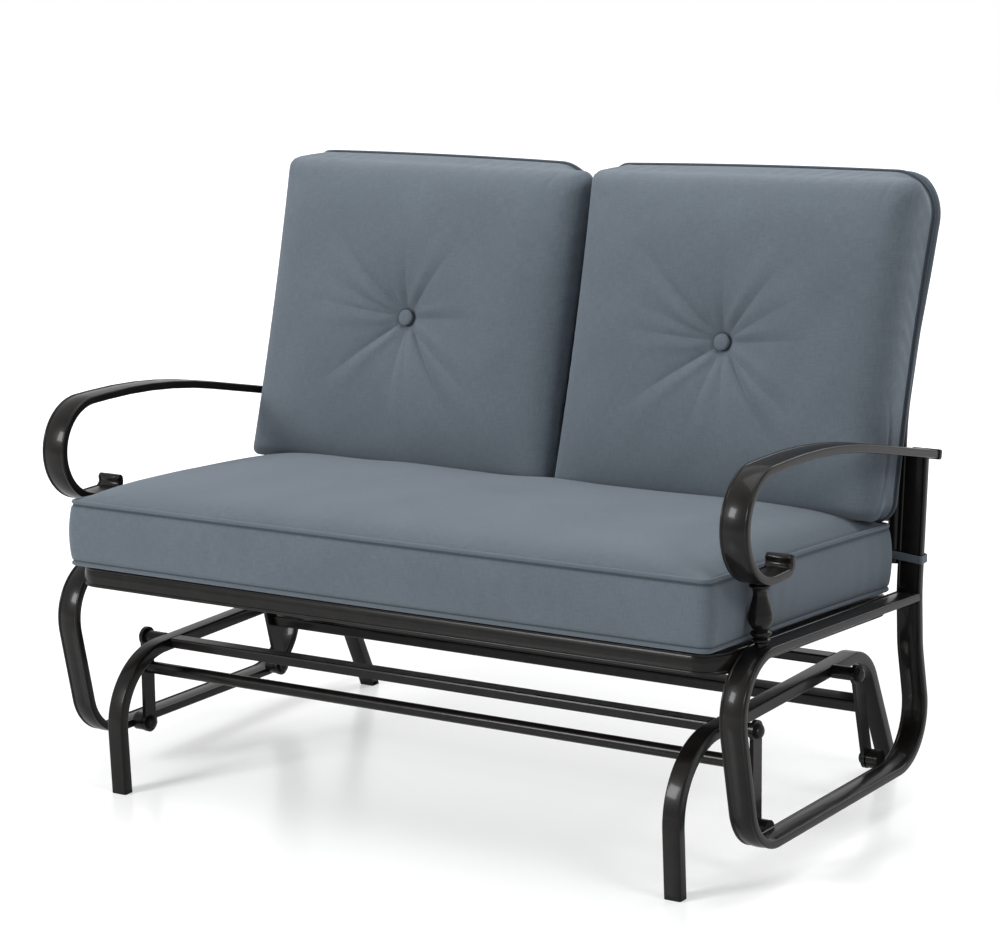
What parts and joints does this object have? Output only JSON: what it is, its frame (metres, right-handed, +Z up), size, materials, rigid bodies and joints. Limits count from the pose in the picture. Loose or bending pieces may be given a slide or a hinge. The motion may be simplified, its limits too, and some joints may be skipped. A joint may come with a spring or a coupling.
{
  "type": "glider bench",
  "caption": "Two-seat glider bench: a cushioned bent-steel seat hung by swing links from a fixed base frame.",
  "frame": {"origin": "On the floor, under the middle of the bench's overall width and depth.", "axes": "+X to the sitter's left, +Y to the back of the bench, +Z up."},
  "size_m": [1.2094, 0.6883, 0.888],
  "materials": {
    "dark_frame_paint": "satin powder coat",
    "dark_fasteners": "black satin",
    "bush_plastic": "matte",
    "foot_plastic": "matte",
    "cushion_fabric": "woven, slate grey-blue"
  },
  "bodies": {
    "base": {"base_side_frame_left": "dark_frame_paint", "base_side_frame_right": "dark_frame_paint", "base_front_cross_tube": "dark_frame_paint", "base_rear_cross_tube": "dark_frame_paint", "foot_caps": "foot_plastic", "upper_pivot_spacers": "dark_frame_paint", "upper_pivot_bolts": "dark_fasteners"},
    "front_links": {"front_link_left": "dark_frame_paint", "front_link_right": "dark_frame_paint", "front_link_bushes": "bush_plastic", "front_swing_bar": "dark_frame_paint"},
    "rear_links": {"rear_link_left": "dark_frame_paint", "rear_link_right": "dark_frame_paint", "rear_link_bushes": "bush_plastic", "rear_swing_bar": "dark_frame_paint"},
    "seat": {"side_frame_left": "dark_frame_paint", "side_frame_right": "dark_frame_paint", "lower_pivot_bosses": "dark_frame_paint", "lower_pivot_bolts": "dark_fasteners", "armrest_left": "dark_frame_paint", "armrest_right": "dark_frame_paint", "arm_end_caps": "foot_plastic", "arm_post_left": "dark_frame_paint", "arm_post_right": "dark_frame_paint", "seat_frame": "dark_frame_paint", "seat_slats": "dark_frame_paint", "seat_stay": "dark_frame_paint", "back_frame": "dark_frame_paint", "back_lower_rail": "dark_frame_paint", "back_slats": "dark_frame_paint", "back_frame_lugs": "dark_frame_paint", "back_frame_bolts": "dark_fasteners", "seat_cushion": "cushion_fabric", "back_cushion_left": "cushion_fabric", "back_cushion_right": "cushion_fabric", "tuft_buttons": "cushion_fabric", "cushion_ties": "cushion_fabric"}
  },
  "joints": [
    {"name": "glide_swing", "type": "hinge", "parent": "base", "child": "front_links", "pos_m": [0, -0.197, 0.203], "axis": [1, 0, 0], "range_deg": [-14, 14]},
    {"name": "seat_level", "type": "hinge", "parent": "front_links", "child": "seat", "pos_m": [0, -0.20412, 0.06719], "axis": [1, 0, 0], "range_deg": [-15, 15]},
    {"name": "rear_swing", "type": "hinge", "parent": "base", "child": "rear_links", "pos_m": [0, 0.098, 0.203], "axis": [1, 0, 0], "range_deg": [-15, 15]}
  ],
  "couplings": [
    {"joint": "seat_level", "follows": "glide_swing", "ratio": -0.88995},
    {"joint": "rear_swing", "follows": "glide_swing", "ratio": 1.0198}
  ]
}
